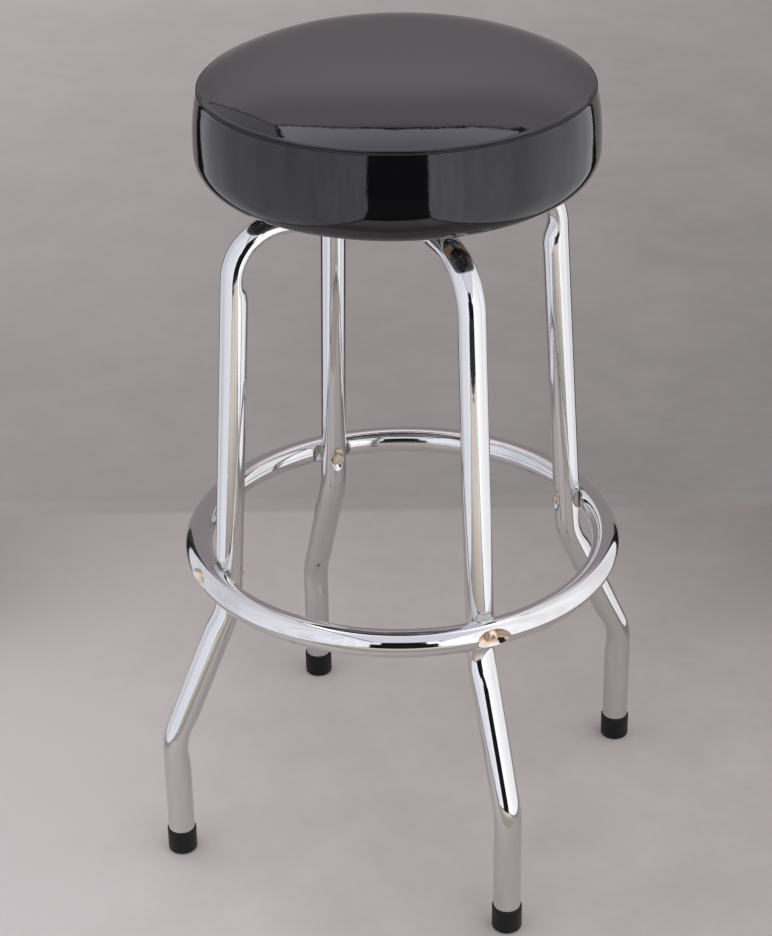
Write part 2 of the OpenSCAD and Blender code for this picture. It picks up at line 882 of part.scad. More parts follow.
module foot_ring() {
    color([0.82, 0.83, 0.85])
        translate([0, 0, ring_h])
            difference() {
                ring_solid(0);
                ring_dents(0);
                difference() {
                    ring_solid(wall_t);
                    ring_dents(wall_t);
                }
                at_each_leg()
                    translate([joint_r - overrun, 0, 0])
                        outwards()
                            cylinder(d = ring_bolt_d + 2 * bolt_gap, h = head_seat_r - joint_r + 2 * overrun);
            }
}

// Ring bolts: domed heads with a hexagon socket, sunk in the ring's hollows
module ring_bolts() {
    dome_r = (ring_bolt_head_d * ring_bolt_head_d / 4 + ring_bolt_head_h * ring_bolt_head_h)
        / (2 * ring_bolt_head_h);
    end_r = nut_seat_r - ring_nut_h;
    color([0.72, 0.7, 0.66])
        at_each_leg()
            translate([0, 0, ring_h]) {
                translate([end_r, 0, 0])
                    outwards()
                        cylinder(d = ring_bolt_d, h = head_seat_r - end_r);
                translate([head_seat_r, 0, 0])
                    outwards()
                        difference() {
                            intersection() {
                                cylinder(d = ring_bolt_head_d, h = ring_bolt_head_h);
                                translate([0, 0, ring_bolt_head_h - dome_r])
                                    sphere(r = dome_r);
                            }
                            translate([0, 0, ring_bolt_head_h / 2])
                                hex_prism(ring_socket_flats, ring_bolt_head_h);
                        }
            }
}

module ring_nuts() {
    color([0.72, 0.7, 0.66])
        at_each_leg()
            translate([nut_seat_r - ring_nut_h, 0, ring_h])
                outwards()
                    difference() {
                        hex_prism(ring_nut_flats, ring_nut_h);
                        translate([0, 0, -overrun])
                            cylinder(d = ring_bolt_d + 2 * snug_gap, h = ring_nut_h + 2 * overrun);
                    }
}

// Cap: a rubber cup pushed over the foot, with a steel disc inside under the end of the tube
module cap() {
    color([0.06, 0.06, 0.06])
        translate([foot_out, 0, 0])
            difference() {
                rotate_extrude()
                    cap_section();
                translate([0, 0, cap_floor_t])
                    cylinder(d = tube_d + 2 * snug_gap, h = cap_h);
            }
}

module cap_section() {
    square([cap_d / 2 - cap_edge_r, cap_h]);
    translate([0, cap_edge_r])
        square([cap_d / 2, cap_h - cap_edge_r - cap_lip_r]);
    translate([cap_d / 2 - cap_edge_r, cap_edge_r])
        circle(r = cap_edge_r);
    translate([cap_d / 2 - cap_lip_r, cap_h - cap_lip_r])
        circle(r = cap_lip_r);
}

// Radius on the cap's upper lip, as a share of its wall
cap_lip_share = 0.45;
cap_lip_r = (cap_d - tube_d) / 2 * cap_lip_share;

module cap_front_right() {
    rotate([0, 0, FRONT_RIGHT])
        cap();
}

module cap_back_right() {
    rotate([0, 0, BACK_RIGHT])
        cap();
}

module cap_back_left() {
    rotate([0, 0, BACK_LEFT])
        cap();
}

module cap_front_left() {
    rotate([0, 0, FRONT_LEFT])
        cap();
}

module cap_discs() {
    color([0.7, 0.7, 0.72])
        at_each_leg()
            translate([foot_out, 0, cap_floor_t])
                cylinder(d = tube_d - 2 * snug_gap, h = cap_disc_t);
}

seat_cover_top();
seat_cover_band();
seat_foam();
seat_board();
cover_staples();
swivel_upper_plate();
plate_screws();
ball_cage();
swivel_balls();
swivel_lower_plate();
centre_pin();
pin_washer();
pin_nut();
leg_front_right();
leg_back_right();
leg_back_left();
leg_front_left();
leg_bolts();
leg_washers();
leg_nuts();
foot_ring();
ring_bolts();
ring_nuts();
cap_front_right();
cap_back_right();
cap_back_left();
cap_front_left();
cap_discs();
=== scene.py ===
# Swivel bar stool: four bent chrome tubes, a chrome foot ring, and a round black seat on a ball swivel.
# Sizes are in millimetres until a mesh is made. The floor is z = 0, the swivel's axis is the z axis,
# and each leg is drawn as if it stood on the x axis and then turned to its diagonal.

import math

import bmesh
import bpy
import numpy as np
from mathutils import Matrix, Vector


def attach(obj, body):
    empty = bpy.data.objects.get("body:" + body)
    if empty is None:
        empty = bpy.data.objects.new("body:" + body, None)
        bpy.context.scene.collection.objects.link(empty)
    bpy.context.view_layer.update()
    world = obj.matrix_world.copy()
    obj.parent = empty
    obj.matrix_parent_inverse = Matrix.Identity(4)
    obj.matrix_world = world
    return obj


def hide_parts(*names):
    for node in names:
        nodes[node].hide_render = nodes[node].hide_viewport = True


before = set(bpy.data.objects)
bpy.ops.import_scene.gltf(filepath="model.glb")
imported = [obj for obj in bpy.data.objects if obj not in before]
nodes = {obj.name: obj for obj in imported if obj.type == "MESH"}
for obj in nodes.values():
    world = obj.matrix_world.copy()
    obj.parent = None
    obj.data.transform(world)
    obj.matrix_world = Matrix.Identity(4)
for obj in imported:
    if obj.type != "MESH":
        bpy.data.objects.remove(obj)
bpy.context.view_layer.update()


# Camera
# It stands two metres in front of the stool and a little to its right, at head height, and looks down on
# it through a long lens.
camera_out = 2017.8
camera_height = 1466.6
camera_side = 22.0
camera_turn, camera_tilt, camera_roll = 22.476, 61.42, -0.974
photo_height = 936
camera_aim = Matrix.Rotation(math.radians(camera_turn), 4, "Z")
camera_aim = camera_aim @ Matrix.Rotation(math.radians(camera_tilt), 4, "X")
camera_aim = camera_aim @ Matrix.Rotation(math.radians(camera_roll), 4, "Z")
side = math.radians(camera_side)
camera_place = Vector((math.sin(side) * camera_out, -math.cos(side) * camera_out, camera_height)) / 1000

camera = bpy.data.objects.new("camera", bpy.data.cameras.new("camera"))
bpy.context.scene.collection.objects.link(camera)
camera.matrix_world = Matrix.Translation(camera_place) @ camera_aim
camera.data.lens = 94.31
camera.data.sensor_width = 36
camera.data.shift_x = 2.5 / photo_height
camera.data.dof.use_dof = False
camera.data.clip_end = 50
bpy.context.scene.camera = camera


# Legs
# Each is one steel tube, bent in three places, with its top pressed flat under the swivel and two
# dents pressed in where the foot ring bolts on. The tube is polished and chrome plated.
tube_r = 12.7
leg_corners = [(236.5, 5.5), (236.5, 128.0), (177.0, 262.0), (153.05, 632.3), (26.4, 632.3)]
leg_bends = [0, 60, 60, 45, 0]
lean_out, lean_height = leg_corners[2]
lean = math.radians(3.7)
lean_cut = 10.7
leg_angles = {"front_right": -45, "back_right": 45, "back_left": 135, "front_left": 225}
bend_press = 6.0
knee_press = 2.2
press_r = tube_r * 1.4
press_blend = 2.4
shoulder = 19.0
flatten_from, flatten_to = 88.0, 64.0
flat_half_w = 19.6
flat_half_t = 1.225
bolt_out = 46.0
ring_height = 296.0
joint_out = 183.80
joint_flat, joint_flat_end = 21, 9
nut_seat_out = 166.90
nut_seat_r = 6.1
nut_dent_depth, nut_dent_length, nut_dent_rim = 4.8, 27, 7
dent_blend = 0.8
dent_reach = 45
leg_sides = 96


def soft_less(a, b, blend):
    """The smaller of a and b, rounded off where they cross."""
    mix = np.clip(0.5 + 0.5 * (b - a) / blend, 0, 1)
    return b * (1 - mix) + a * mix - blend * mix * (1 - mix)


def soft_more(a, b, blend):
    """The larger of a and b, rounded off where they cross."""
    return -soft_less(-a, -b, blend)


def ease(x):
    """0 below 0, 1 above 1, and a smooth rise between them."""
    x = np.clip(x, 0, 1)
    return x * x * (3 - 2 * x)


def tube_path(corners, bends):
    """Straight lines and arcs along a bent tube, each as (length, start, heading, turn per mm)."""
    corners = [np.array(c, float) for c in corners]
    headings = [math.atan2(*(b - a)[::-1]) for a, b in zip(corners, corners[1:])]
    lines, start = [], corners[0]
    for k, heading in enumerate(headings):
        end = corners[k + 1]
        turn = headings[k + 1] - heading if k + 1 < len(headings) else 0
        cut = bends[k + 1] * math.tan(abs(turn) / 2)
        along = np.array([math.cos(heading), math.sin(heading)])
        lines.append((np.linalg.norm(end - start) - cut, start, heading, 0))
        if turn:
            bend = math.copysign(1 / bends[k + 1], turn)
            lines.append((bends[k + 1] * abs(turn), end - cut * along, heading, bend))
            start = end + cut * np.array([math.cos(headings[k + 1]), math.sin(headings[k + 1])])
    return lines


def on_path(lines, places):
    """Points and headings at these distances along a bent tube."""
    points, headings = [], []
    for place in places:
        for length, start, heading, bend in lines:
            if place <= length or length is lines[-1][0]:
                break
            place -= length
        turned = heading + place * bend
        if bend:
            step = np.array([math.sin(turned) - math.sin(heading), math.cos(heading) - math.cos(turned)])
            step = step / bend
        else:
            step = place * np.array([math.cos(heading), math.sin(heading)])
        points.append(start + step)
        headings.append(turned)
    return np.array(points), np.array(headings)


def steps(*stretches):
    """Places along a line, from stretches of (start, end, step)."""
    places = [np.arange(a, b, (b - a) / max(1, round((b - a) / step))) for a, b, step in stretches]
    return np.append(np.concatenate(places), stretches[-1][1])


def grid_object(name, grid, loop):
    """A closed surface through rows of points in mm. Its rows join end to end, or have flat ends."""
    rows, columns = grid.shape[:2]
    index = np.arange(rows * columns).reshape(rows, columns)
    across = np.roll(index, -1, axis=1)
    upper = np.roll(index, -1, axis=0)
    quads = np.stack([index, across, np.roll(across, -1, axis=0), upper], axis=-1)
    if not loop:
        quads = quads[:-1]
    faces = quads.reshape(-1, 4).tolist()
    if not loop:
        faces += [index[0].tolist(), index[-1].tolist()]
    mesh = bpy.data.meshes.new(name)
    mesh.from_pydata((grid.reshape(-1, 3) / 1000).tolist(), [], faces)
    shape = bmesh.new()
    shape.from_mesh(mesh)
    bmesh.ops.recalc_face_normals(shape, faces=shape.faces)
    for face in shape.faces:
        face.smooth = len(face.verts) == 4
    shape.to_mesh(mesh)
    shape.free()
    made = bpy.data.objects.new(name, mesh)
    bpy.context.scene.collection.objects.link(made)
    return made


def wheel_reach(along, across, depth, length, rim):
    """How far a pressing wheel stands back from its deepest point, at places along and across the dent."""
    wheel_r = (length * length / 4 + depth * depth) / (2 * depth)
    wide = wheel_r - rim + np.sqrt(np.clip(rim * rim - across * across, 0, None))
    reach = wheel_r - np.sqrt(np.clip(wide * wide - along * along, 0, None))
    return np.where((np.abs(across) < rim) & (np.abs(along) < wide), reach, 99)


def flat_reach(along, length, end_r):
    """How far a flat press with round ends stands back, at places along the dent."""
    past = np.clip(np.abs(along) - length / 2, 0, end_r)
    return np.where(np.abs(along) < length / 2 + end_r, end_r - np.sqrt(end_r * end_r - past * past), 99)


leg_lines = tube_path(leg_corners, leg_bends)
run_ends = np.cumsum([line[0] for line in leg_lines])
joint_at = run_ends[3] + (ring_height - lean_height) / math.cos(lean) - lean_cut
top_at = run_ends[4]
level_at = run_ends[5]
leg_end = run_ends[6]
leg_places = steps(
    (0, run_ends[0] - 14, 7),
    (run_ends[0] - 14, run_ends[1] + 14, 1),
    (run_ends[1] + 14, run_ends[2] - 14, 5),
    (run_ends[2] - 14, run_ends[3], 1),
    (run_ends[3], joint_at + 26, 0.8),
    (joint_at + 26, top_at - 12, 8),
    (top_at - 12, top_at, 0.8),
    (top_at, level_at, 1),
    (level_at, leg_end - 22, 1),
    (leg_end - 22, leg_end - 0.1, 0.5))
leg_points, leg_headings = on_path(leg_lines, leg_places)


def pressed_radius(angle, depth):
    """The tube's radius round a section that is pressed in by this depth on the side at angle 0."""
    centre = tube_r - depth - press_r
    flatter = centre * np.cos(angle) + np.sqrt(press_r ** 2 - (centre * np.sin(angle)) ** 2)
    return soft_less(tube_r, flatter, press_blend)


def leg_surface():
    """The leg's surface, with the side that the top bend turns to at angle 0 round the tube."""
    angle = np.linspace(0, 2 * math.pi, leg_sides, endpoint=False)
    out, height = leg_points[:, :1], leg_points[:, 1:]
    pressed = ease((leg_places[:, None] - top_at + shoulder) / shoulder)
    radius = tube_r - pressed * (tube_r - pressed_radius(angle, bend_press))
    for knee, facing in ((0, angle), (2, angle + math.pi)):
        at_knee = ease((leg_places[:, None] - run_ends[knee] + shoulder) / shoulder)
        at_knee *= ease((run_ends[knee + 1] + shoulder - leg_places[:, None]) / shoulder)
        radius -= at_knee * (tube_r - pressed_radius(facing, knee_press))
    left, wide = radius * np.cos(angle), radius * np.sin(angle)
    flat = ease((flatten_from - out) / (flatten_from - flatten_to)) * (pressed > 0.5)
    end = np.sqrt(np.clip(1 - (np.clip(bolt_out - out, 0, None) / flat_half_w) ** 2, 0, 1))
    end = np.where(pressed > 0.5, end, 1)
    flat_side = np.sin(math.pi / 2 * np.clip(6 * np.cos(angle), -1, 1))
    flat_left = flat_half_t - tube_r + flat_half_t * flat_side
    flat_wide = flat_half_w * np.arcsin(np.sin(angle)) * 2 / math.pi * end
    left = left + flat * (flat_left - left)
    wide = wide + flat * (flat_wide - wide)
    x = out - left * np.sin(leg_headings[:, None])
    z = height + left * np.cos(leg_headings[:, None])
    along = z - ring_height
    near = (np.abs(along) < dent_reach) & (x > nut_seat_out - dent_reach)
    outer = soft_less(x, joint_out + flat_reach(along, joint_flat, joint_flat_end), dent_blend)
    dent = wheel_reach(along, wide, nut_dent_depth, nut_dent_length, nut_dent_rim)
    inner = soft_more(x, nut_seat_out - dent, dent_blend)
    seat = (along ** 2 + wide ** 2 < nut_seat_r ** 2) & (x < nut_seat_out + 4)
    inner = np.where(seat, nut_seat_out, inner)
    middle = lean_out - (z - lean_height) * math.tan(lean)
    x = np.where(near, np.where(x > middle, outer, inner), x)
    return np.stack([x, wide, z], axis=-1)


def turned(grid, angle):
    """A grid of points turned about the swivel's axis, by one angle or by one for each row."""
    c, s = np.cos(np.radians(angle)), np.sin(np.radians(angle))
    x, y = grid[..., 0], grid[..., 1]
    return np.stack([x * c - y * s, x * s + y * c, grid[..., 2]], axis=-1)


class Value:
    """A node's output. Python's operators on it add Math nodes to its material."""

    def __init__(self, finish, socket):
        self.finish, self.socket = finish, socket

    def math(self, operation, *others):
        inputs = dict(enumerate((self,) + others))
        return self.finish.node("ShaderNodeMath", {"operation": operation}, inputs)

    def __add__(self, other):
        return self.math("ADD", other)

    __radd__ = __add__

    def __mul__(self, other):
        return self.math("MULTIPLY", other)

    __rmul__ = __mul__

    def __sub__(self, other):
        return self.math("SUBTRACT", other)

    def __rsub__(self, other):
        return (self * -1).math("ADD", other)

    def __truediv__(self, other):
        return self.math("DIVIDE", other)

    def __pow__(self, other):
        return self.math("POWER", other)

    def clamped(self):
        return self.math("MAXIMUM", 0).math("MINIMUM", 1)

    def between(self, low, high):
        """0 below low, 1 above high, and a smooth rise between them."""
        settings = {"interpolation_type": "SMOOTHSTEP"}
        inputs = {"Value": self, "From Min": low, "From Max": high}
        return self.finish.node("ShaderNodeMapRange", settings, inputs)


class Finish:
    """A material, built up from its surface shader."""

    def __init__(self, name):
        self.material = bpy.data.materials.new(name)
        self.material.use_nodes = True
        self.tree = self.material.node_tree
        self.shader = self.tree.nodes["Principled BSDF"]

    def node(self, kind, settings=None, inputs=None, output=0):
        """Adds a node: its settings come first, then its sockets' values or links. Gives one output."""
        node = self.tree.nodes.new(kind)
        for name, setting in (settings or {}).items():
            setattr(node, name, setting)
        self.fill(node, inputs or {})
        return Value(self, node.outputs[output])

    def fill(self, node, inputs):
        for name, value in inputs.items():
            if isinstance(value, Value):
                self.tree.links.new(value.socket, node.inputs[name])
            else:
                node.inputs[name].default_value = value

    def surface(self, **inputs):
        self.fill(self.shader, {name.replace("_", " "): value for name, value in inputs.items()})
        return self.material

    def place(self):
        return self.node("ShaderNodeTexCoord", output="Object")

    def noise(self, scale, detail=3.0, roughness=0.5, place=None):
        inputs = {"Vector": place or self.place(), "Scale": scale, "Detail": detail, "Roughness": roughness}
        return self.node("ShaderNodeTexNoise", inputs=inputs)

    def blend(self, factor, colour_a, colour_b):
        inputs = {"Factor": factor, 6: colour_a, 7: colour_b}
        return self.node("ShaderNodeMix", {"data_type": "RGBA"}, inputs, output=2)

    def bump(self, height, distance, strength=1.0):
        inputs = {"Height": height, "Distance": distance, "Strength": strength}
        return self.node("ShaderNodeBump", inputs=inputs)


def chrome_plate():
    """Bright chrome over polished steel: nearly clean, with faint polishing ripple and handling haze.
    Where a mesh carries thin_plate, the plating is thin and lets the steel show through tan."""
    finish = Finish("chrome_plate")
    thin = finish.node("ShaderNodeAttribute", {"attribute_name": "thin_plate"}, output="Fac")
    haze = finish.noise(9, 4).between(0.45, 0.75)
    specks = finish.noise(700, 2).between(0.62, 0.8)
    ripple = finish.noise(38, 2, 0.4)
    colour = finish.blend(haze * 0.5, (0.71, 0.71, 0.705, 1), (0.66, 0.66, 0.655, 1))
    colour = finish.blend(thin, colour, (0.80, 0.63, 0.48, 1))
    return finish.surface(
        Base_Color=colour, Metallic=1.0, Roughness=0.05 + haze * 0.05 + specks * 0.04 + thin * 0.08,
        Normal=finish.bump(ripple, 0.00012))


chrome = chrome_plate()
leg_grid = leg_surface()
for name, angle in leg_angles.items():
    leg = grid_object("leg_tube_" + name, turned(leg_grid, angle), loop=False)
    leg.data.materials.append(chrome)
    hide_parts("leg_" + name)
    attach(leg, "base")


# Foot ring
# One length of the same tube rolled to a circle and welded. It is pressed flat inside where it meets
# each leg, with a deep hollow outside that lets the bolt's head lie below the surface.
ring_out = 192.80
head_seat_out = 198.00
head_seat_r = 6.3
ring_flat, ring_flat_end = 24, 9
hollow_depth, hollow_length, hollow_rim = 7.5, 32, 12
hollow_blend = 1.6
pressed_stretch = 46
thin_from, thin_over = 0.8, 2.5
ring_sides = 96
leg_places_on_ring = [45, 135, 225, 315]


def ring_surface():
    """The ring's surface, a quarter at a time: each has one pressed stretch with a leg in its middle."""
    arc = math.degrees(pressed_stretch / ring_out)
    near = np.linspace(-arc, arc, 130, endpoint=False)
    far = np.linspace(arc, 90 - arc, 44, endpoint=False)
    part = np.concatenate([near, far])
    off = np.concatenate([near, far - 90 * (far > 45)])
    angle = np.linspace(0, 2 * math.pi, ring_sides, endpoint=False)
    out = ring_out + tube_r * np.cos(angle)
    z = tube_r * np.sin(angle) + 0 * part[:, None]
    x = out * np.cos(np.radians(off))[:, None]
    y = out * np.sin(np.radians(off))[:, None]
    close = (np.abs(off) < arc * 1.01)[:, None]
    inner = soft_more(x, joint_out - flat_reach(y, ring_flat, ring_flat_end), dent_blend)
    hollow = wheel_reach(y, z, hollow_depth, hollow_length, hollow_rim)
    outer = soft_less(x, head_seat_out + hollow, hollow_blend)
    seat = (y ** 2 + z ** 2 < head_seat_r ** 2) & (x > head_seat_out - 6)
    outer = np.where(seat, head_seat_out, outer)
    moved = np.where(out < ring_out, inner, outer)
    x = np.where(close, moved, x)
    grid = np.stack([x, y, z + ring_height], axis=-1)
    grid = turned(grid, np.where(np.abs(part - off) > 1, 90, 0)[:, None])
    return np.concatenate([turned(grid, place) for place in leg_places_on_ring])


ring_points = ring_surface()
ring = grid_object("foot_ring_tube", ring_points, loop=True)
from_axis = np.hypot(ring_points[..., 0], ring_points[..., 1])
own_out = ring_out + tube_r * np.cos(np.linspace(0, 2 * math.pi, ring_sides, endpoint=False))
thin_plate = np.clip((own_out - from_axis - thin_from) / thin_over, 0, 1) * (own_out > ring_out)
ring.data.attributes.new("thin_plate", "FLOAT", "POINT").data.foreach_set("value", thin_plate.ravel())
ring.data.materials.append(chrome)
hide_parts("foot_ring")
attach(ring, "base")


# Ring bolts and nuts
# Zinc plated screws with a domed head and a hexagon socket, and plain hexagon nuts inside the legs. Each
# screw goes in from outside, through the ring's hollow and the leg.
def zinc_plate(name, colour, stain):
    """Zinc plating: dull grey with a faint warm bloom and fine scratches."""
    finish = Finish(name)
    bloom = finish.noise(140, 4).between(0.4, 0.7)
    grain = finish.noise(1600, 3)
    return finish.surface(
        Base_Color=finish.blend(bloom, colour, stain), Metallic=1.0, Roughness=0.28 + bloom * 0.07,
        Normal=finish.bump(grain, 0.00002))


def ring_of(name, part, count, out, height, first_angle, material):
    """Copies of a part, spaced round the swivel's axis with their x axes outward. Sizes are in metres."""
    group = bpy.data.node_groups.new(name, "GeometryNodeTree")
    sockets = {}
    for label, kind in (("Part", "Object"), ("Count", "Int"), ("Out", "Float"), ("Height", "Float"),
                        ("First angle", "Float"), ("Coat", "Material")):
        sockets[label] = group.interface.new_socket(label, in_out="INPUT", socket_type="NodeSocket" + kind)
    group.interface.new_socket("Geometry", in_out="OUTPUT", socket_type="NodeSocketGeometry")

    def node(kind, settings, links):
        """Adds a node to the tree, and gives its outputs."""
        made = group.nodes.new(kind)
        for key, setting in settings.items():
            setattr(made, key, setting)
        for key, link in links.items():
            if isinstance(link, bpy.types.NodeSocket):
                group.links.new(link, made.inputs[key])
            else:
                made.inputs[key].default_value = link
        return made.outputs

    given = node("NodeGroupInput", {}, {})
    circle = node("GeometryNodeMeshCircle", {}, {"Vertices": given["Count"], "Radius": given["Out"]})
    up = node("ShaderNodeCombineXYZ", {}, {"Z": given["Height"]})
    turn = node("ShaderNodeCombineXYZ", {}, {"Z": given["First angle"]})
    points = node("GeometryNodeTransform", {}, {
        "Geometry": circle["Mesh"], "Translation": up[0], "Rotation": turn[0]})
    place = node("GeometryNodeInputPosition", {}, {})
    facing = {"axis": "X", "pivot_axis": "Z"}
    outward = node("FunctionNodeAlignRotationToVector", facing, {"Vector": place[0]})
    source = node("GeometryNodeObjectInfo", {}, {"Object": given["Part"]})
    copies = node("GeometryNodeInstanceOnPoints", {}, {
        "Points": points[0], "Instance": source["Geometry"], "Rotation": outward[0]})
    real = node("GeometryNodeRealizeInstances", {}, {"Geometry": copies[0]})
    coated = node("GeometryNodeSetMaterial", {}, {"Geometry": real[0], "Material": given["Coat"]})
    node("NodeGroupOutput", {}, {"Geometry": coated[0]})

    holder = bpy.data.objects.new(name + "_holder", bpy.data.meshes.new(name + "_holder"))
    bpy.context.scene.collection.objects.link(holder)
    modifier = holder.modifiers.new(name, "NODES")
    modifier.node_group = group
    values = {"Part": part, "Count": count, "Out": out, "Height": height, "First angle": first_angle,
              "Coat": material}
    for label, value in values.items():
        modifier[sockets[label].identifier] = value
    shown = bpy.context.evaluated_depsgraph_get()
    plain = bpy.data.meshes.new_from_object(holder.evaluated_get(shown))
    for spent in (holder, part):
        bpy.data.objects.remove(spent)
    made = bpy.data.objects.new(name, plain)
    bpy.context.scene.collection.objects.link(made)
    return made


bolt_zinc = zinc_plate("bolt_zinc", (0.80, 0.69, 0.58, 1), (0.62, 0.50, 0.40, 1))
head_out = 6.0
head_h = 3.4
socket_half = 2.0
shank_r = 3.0
shank_end = 38.0
screw_sides = 96
axis_gap = 0.02


def hexagon(out, angle):
    """How far a hexagon's edge stands from its middle, for half its width across flats."""
    return out / np.cos((angle + math.pi / 6) % (math.pi / 3) - math.pi / 6)


def dome(out):
    """How high the head's dome stands at this distance from its middle."""
    return head_h * (1 - (out / head_out) ** 2.2 * 0.72)


def screw_surface():
    """A domed head with a hexagon socket, on a plain shank. The head looks along x from its seat at x = 0.
    Its rows go from the socket's floor, over the dome and the rim, to the shank's end."""
    angle = np.linspace(0, 2 * math.pi, screw_sides, endpoint=False)
    socket = hexagon(socket_half, angle)
    rows = [(axis_gap, 0.7), (socket * 0.96, 0.7), (socket, 0.9), (socket, 2.9)]
    rows += [(socket * 1.03, dome(2.1) - 0.05)]
    rows += [(out, dome(out)) for out in (2.75, 3.3, 3.9, 4.5, 5.0, 5.45, 5.75)]
    rows += [(head_out - 0.07, 0.78), (head_out, 0.6), (head_out, 0.08), (head_out - 0.1, 0)]
    rows += [(shank_r, 0), (shank_r, 0.6 - shank_end), (shank_r - 0.6, -shank_end)]
    flat = 0 * angle
    return np.stack([
        np.stack([flat + x, out * np.cos(angle), out * np.sin(angle)], axis=-1) for out, x in rows])


screw = grid_object("screw", screw_surface(), loop=False)
first_leg = math.pi / 4
screws = ring_of(
    "ring_screws", screw, len(leg_angles), head_seat_out / 1000, ring_height / 1000, first_leg, bolt_zinc)
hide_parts("ring_bolts")
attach(screws, "base")
nodes["ring_nuts"].data.materials.clear()
nodes["ring_nuts"].data.materials.append(bolt_zinc)


# Caps
# Black rubber cups pushed over the feet, each with a round lip. A steel disc inside keeps the tube's end
# from cutting through.
def moulded_rubber():
    """Matt black rubber with a little dust."""
    finish = Finish("moulded_rubber")
    dust = finish.noise(60, 5).between(0.5, 0.8)
    grain = finish.noise(1400, 3)
    return finish.surface(
        Base_Color=finish.blend(dust * 0.4, (0.006, 0.006, 0.006, 1), (0.014, 0.0135, 0.013, 1)),
        Roughness=0.45 + dust * 0.2, Specular_IOR_Level=0.3, Normal=finish.bump(grain, 0.00003))


rubber = moulded_rubber()
cap_out = 236.5
cap_profile = [
    (0, 0), (11.2, 0), (12.6, 0.4), (13.6, 1.4), (13.95, 2.8), (13.95, 22.5), (13.9, 24.2), (13.5, 25),
    (13.1, 25), (12.75, 24.4), (12.75, 4.1), (11, 4), (0, 4)]
cap_sides = 72


def lathe(profile, count):
    """Rows of points round the z axis for a closed outline. Its ends on the axis become small rings."""
    out = np.maximum(np.array([p[0] for p in profile], float), axis_gap)[:, None]
    height = np.array([p[1] for p in profile], float)[:, None]
    angle = np.linspace(0, 2 * math.pi, count, endpoint=False)
    return np.stack([out * np.cos(angle), out * np.sin(angle), height + 0 * angle], axis=-1)


for name, angle in leg_angles.items():
    grid = lathe(cap_profile, cap_sides)
    grid[..., 0] += cap_out
    cap = grid_object("cap_rubber_" + name, turned(grid, angle), loop=False)
    cap.data.materials.append(rubber)
    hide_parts("cap_" + name)
    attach(cap, "base")


# Swivel
# Two pressed plates with a cage of steel balls between them, held together by a pin and its nut. The upper
# plate is screwed to the seat board, and the lower one is bolted to the legs.
# Zinc plating for the swivel and the hidden steel. Its grey is darkened as painted shade for the shaded
# underside of the seat.
plate_zinc_painted_shade = zinc_plate("plate_zinc_painted_shade", (0.34, 0.35, 0.37, 1), (0.29, 0.30, 0.32, 1))
brass = zinc_plate("cage_brass", (0.72, 0.56, 0.25, 1), (0.55, 0.40, 0.16, 1))
swivel_parts = [
    "swivel_upper_plate", "swivel_lower_plate", "plate_screws", "centre_pin", "pin_washer", "pin_nut",
    "leg_bolts", "leg_washers", "leg_nuts", "swivel_balls", "ball_cage"]
hidden_steel = ["cap_discs", "cover_staples"]
for name in swivel_parts + hidden_steel:
    nodes[name].data.materials.clear()
    nodes[name].data.materials.append(brass if name == "ball_cage" else plate_zinc_painted_shade)


# Seat board
# A disc of plywood that the swivel is screwed to and the cover is stapled to. A hole in its middle leaves
# room for the pin's nut.
def plywood():
    """Plain plywood, with a long grain across the seat and fine pores. Its colour is darkened as painted
    shade under the seat.
    """
    finish = Finish("plywood")
    place = finish.node("ShaderNodeMapping", inputs={"Vector": finish.place(), "Scale": (1.0, 9.0, 9.0)})
    grain = finish.noise(26, 5, 0.6, place)
    pores = finish.noise(220, 3, 0.5, place)
    # Both grain colours are darkened as painted shade under the seat.
    colour = finish.blend(grain, (0.38, 0.25, 0.13, 1), (0.24, 0.15, 0.08, 1))
    bump = finish.bump(pores, 0.0002)
    return finish.surface(Base_Color=colour, Roughness=0.55 + grain * 0.2, Normal=bump)


nodes["seat_board"].data.materials.clear()
nodes["seat_board"].data.materials.append(plywood())


# Cushion
# Moulded foam under glossy vinyl: a crowned top panel sewn to a side band that bulges out below the
# seam, turns under the board's edge and is stapled there.
seam_height = 748.0
crown_height = 777.0
widest_height = 693.8
cover_under = 665.8
board_low, board_top = 667.0, 683.0
board_out = 155.0
seam_out = 172.0
seat_out = 178.5
under_out = 152.5
flap_out = 117.5
cushion_sides = 720
crown_fall, band_fullness, turn_fullness = 3.6, 2.4, 2.2
crown_rows, band_rows, turn_rows = 90, 80, 40
row_spread = 1.7
seam_row = crown_rows - 1
corner_round = 1.2
seam_forms = [(0, 0.65, -1.3), (-2.0, 1.0, 0.32), (2.0, 1.3, 0.35)]
seam_wander = 0.08


def cushion_profile():
    """Outline from the crown's middle, over the seam, down the band and under, to the board's top."""
    r = seam_out * np.sin(np.linspace(0, 1, crown_rows) * math.pi / 2)
    crown = np.stack([r, crown_height - (crown_height - seam_height) * (r / seam_out) ** crown_fall], axis=-1)
    rise = 1 - np.linspace(0, 1, band_rows) ** row_spread
    band_z = widest_height + (seam_height - widest_height) * rise
    rise = (band_z - widest_height) / (seam_height - widest_height)
    band = np.stack([seam_out + (seat_out - seam_out) * (1 - rise ** band_fullness), band_z], axis=-1)
    turn = np.radians(np.linspace(0, 90, turn_rows)[1:])
    turn_r = under_out + (seat_out - under_out) * np.clip(np.cos(turn), 0, 1) ** (2 / turn_fullness)
    turn_z = widest_height - (widest_height - cover_under) * np.sin(turn) ** (2 / turn_fullness)
    under = np.stack([turn_r, turn_z], axis=-1)
    flap_top, foam_low = board_low - 0.1, board_top + 0.2
    inside = [
        (140, cover_under), (128, cover_under), (flap_out, cover_under), (flap_out, flap_top),
        (130, flap_top), (board_out - 3, flap_top), (board_out, board_low + 3), (board_out, board_top - 3),
        (board_out - 3, foam_low), (60, foam_low), (0, foam_low)]
    return np.concatenate([crown[:-1], band, under, inside])


